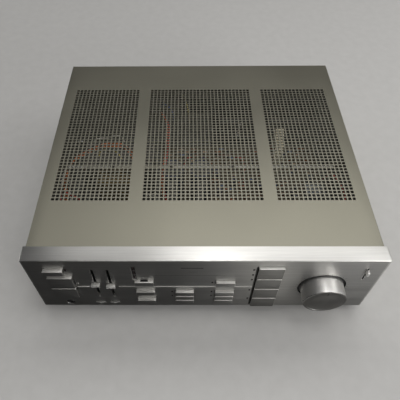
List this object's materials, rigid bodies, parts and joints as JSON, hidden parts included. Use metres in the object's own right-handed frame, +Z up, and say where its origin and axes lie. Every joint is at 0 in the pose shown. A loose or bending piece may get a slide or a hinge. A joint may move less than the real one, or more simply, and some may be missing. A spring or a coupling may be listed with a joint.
{
  "type": "stereo amplifier",
  "caption": "Full-width silver stereo amplifier with perforated steel cover, push buttons, tone sliders and a large volume knob.",
  "frame": {"origin": "centre of the bounding box at the plane the feet stand on", "axes": "+X to the right seen from the front, +Y from the front to the back, +Z up"},
  "size_m": [0.42, 0.414, 0.13],
  "materials": {
    "faceplate_aluminium": "brushed satin, horizontal grain",
    "button_aluminium": "fine brushed, bright edges",
    "knob_aluminium": "turned, satin sides and spun face",
    "cover_paint": "satin champagne-silver paint on sheet steel",
    "zinc_steel": "zinc-plated sheet steel",
    "screw_steel": "plated machine screw",
    "black_plastic": "fine-textured moulding",
    "smoked_plastic": "polished dark window",
    "foot_rubber": "moulded, matt",
    "cord_rubber": "smooth jacket",
    "transformer_steel": "varnished laminations",
    "coil_tape": "winding under polyester tape",
    "circuit_board": "phenolic board with solder-resist",
    "capacitor_sleeve": "shrunk vinyl sleeve",
    "heat_sink_black": "black anodised extrusion",
    "relay_case": "clear polycarbonate case"
  },
  "bodies": {
    "chassis": {"faceplate": "faceplate_aluminium", "front_subpanel": "zinc_steel", "base_chassis": "zinc_steel", "top_cover": "cover_paint", "rear_panel": "zinc_steel", "chassis_crossbrace": "zinc_steel", "foot_front_left": "foot_rubber", "foot_front_right": "foot_rubber", "foot_rear_left": "foot_rubber", "foot_rear_right": "foot_rubber", "cover_screw_left_front": "screw_steel", "cover_screw_left_rear": "screw_steel", "cover_screw_right_front": "screw_steel", "cover_screw_right_rear": "screw_steel", "power_transformer_core": "transformer_steel", "power_transformer_coil": "coil_tape", "filter_capacitor_left": "capacitor_sleeve", "filter_capacitor_right": "capacitor_sleeve", "heat_sink": "heat_sink_black", "output_module_left": "black_plastic", "output_module_right": "black_plastic", "main_amplifier_board": "circuit_board", "equalizer_board": "circuit_board", "control_board": "circuit_board", "speaker_relay": "relay_case", "power_switch": "black_plastic", "selector_switch_bank": "zinc_steel", "bass_slide_pot": "zinc_steel", "treble_slide_pot": "zinc_steel", "volume_pot": "zinc_steel", "headphone_jack": "black_plastic", "indicator_window": "smoked_plastic", "input_jack_panel": "black_plastic", "speaker_terminal_block": "black_plastic", "mains_cord": "cord_rubber", "cord_strain_relief": "black_plastic"},
    "power_button": {"power_button": "button_aluminium"},
    "speaker_a_button": {"speaker_a_button": "button_aluminium"},
    "speaker_b_button": {"speaker_b_button": "button_aluminium"},
    "muting_button": {"muting_button": "button_aluminium"},
    "subsonic_filter_button": {"subsonic_filter_button": "button_aluminium"},
    "loudness_button": {"loudness_button": "button_aluminium"},
    "mode_button": {"mode_button": "button_aluminium"},
    "cartridge_button": {"cartridge_button": "button_aluminium"},
    "dubbing_button": {"dubbing_button": "button_aluminium"},
    "adaptor_button": {"adaptor_button": "button_aluminium"},
    "tape_1_button": {"tape_1_button": "button_aluminium"},
    "tape_2_button": {"tape_2_button": "button_aluminium"},
    "tape_copy_button": {"tape_copy_button": "button_aluminium"},
    "selector_phono_button": {"selector_phono_button": "button_aluminium"},
    "selector_tuner_button": {"selector_tuner_button": "button_aluminium"},
    "selector_auxiliary_button": {"selector_auxiliary_button": "button_aluminium"},
    "selector_direct_button": {"selector_direct_button": "button_aluminium"},
    "bass_slider_knob": {"bass_slider_knob": "button_aluminium"},
    "treble_slider_knob": {"treble_slider_knob": "button_aluminium"},
    "bass_turnover_knob": {"bass_turnover_knob": "button_aluminium"},
    "treble_turnover_knob": {"treble_turnover_knob": "button_aluminium"},
    "balance_slider_knob": {"balance_slider_knob": "button_aluminium"},
    "volume_knob": {"volume_knob": "knob_aluminium", "volume_shaft": "zinc_steel"}
  },
  "joints": [
    {"name": "power_press", "type": "slide", "parent": "chassis", "child": "power_button", "axis": [0, 1, 0], "range_m": [0, 0.0035]},
    {"name": "speaker_a_press", "type": "slide", "parent": "chassis", "child": "speaker_a_button", "axis": [0, 1, 0], "range_m": [0, 0.0035]},
    {"name": "speaker_b_press", "type": "slide", "parent": "chassis", "child": "speaker_b_button", "axis": [0, 1, 0], "range_m": [0, 0.0035]},
    {"name": "muting_press", "type": "slide", "parent": "chassis", "child": "muting_button", "axis": [0, 1, 0], "range_m": [0, 0.0035]},
    {"name": "subsonic_filter_press", "type": "slide", "parent": "chassis", "child": "subsonic_filter_button", "axis": [0, 1, 0], "range_m": [0, 0.0035]},
    {"name": "loudness_press", "type": "slide", "parent": "chassis", "child": "loudness_button", "axis": [0, 1, 0], "range_m": [0, 0.0035]},
    {"name": "mode_press", "type": "slide", "parent": "chassis", "child": "mode_button", "axis": [0, 1, 0], "range_m": [0, 0.0035]},
    {"name": "cartridge_press", "type": "slide", "parent": "chassis", "child": "cartridge_button", "axis": [0, 1, 0], "range_m": [0, 0.0035]},
    {"name": "dubbing_press", "type": "slide", "parent": "chassis", "child": "dubbing_button", "axis": [0, 1, 0], "range_m": [0, 0.0035]},
    {"name": "adaptor_press", "type": "slide", "parent": "chassis", "child": "adaptor_button", "axis": [0, 1, 0], "range_m": [0, 0.0035]},
    {"name": "tape_1_press", "type": "slide", "parent": "chassis", "child": "tape_1_button", "axis": [0, 1, 0], "range_m": [0, 0.0035]},
    {"name": "tape_2_press", "type": "slide", "parent": "chassis", "child": "tape_2_button", "axis": [0, 1, 0], "range_m": [0, 0.0035]},
    {"name": "tape_copy_press", "type": "slide", "parent": "chassis", "child": "tape_copy_button", "axis": [0, 1, 0], "range_m": [0, 0.0035]},
    {"name": "selector_phono_press", "type": "slide", "parent": "chassis", "child": "selector_phono_button", "axis": [0, 1, 0], "range_m": [0, 0.0035]},
    {"name": "selector_tuner_press", "type": "slide", "parent": "chassis", "child": "selector_tuner_button", "axis": [0, 1, 0], "range_m": [0, 0.0035]},
    {"name": "selector_auxiliary_press", "type": "slide", "parent": "chassis", "child": "selector_auxiliary_button", "axis": [0, 1, 0], "range_m": [0, 0.0035]},
    {"name": "selector_direct_press", "type": "slide", "parent": "chassis", "child": "selector_direct_button", "axis": [0, 1, 0], "range_m": [0, 0.0035]},
    {"name": "bass_slide", "type": "slide", "parent": "chassis", "child": "bass_slider_knob", "axis": [0, 0, 1], "range_m": [-0.03, 0.03]},
    {"name": "treble_slide", "type": "slide", "parent": "chassis", "child": "treble_slider_knob", "axis": [0, 0, 1], "range_m": [-0.0272, 0.0328]},
    {"name": "bass_turnover_slide", "type": "slide", "parent": "chassis", "child": "bass_turnover_knob", "axis": [1, 0, 0], "range_m": [-0.0025, 0.0025]},
    {"name": "treble_turnover_slide", "type": "slide", "parent": "chassis", "child": "treble_turnover_knob", "axis": [1, 0, 0], "range_m": [-0.0025, 0.0025]},
    {"name": "balance_slide", "type": "slide", "parent": "chassis", "child": "balance_slider_knob", "axis": [0, 0, 1], "range_m": [-0.0156, 0.0024]},
    {"name": "volume_turn", "type": "hinge", "parent": "chassis", "child": "volume_knob", "pos_m": [0.146, -0.1858, 0.0668], "axis": [0, -1, 0], "range_deg": [-150, 150]}
  ]
}
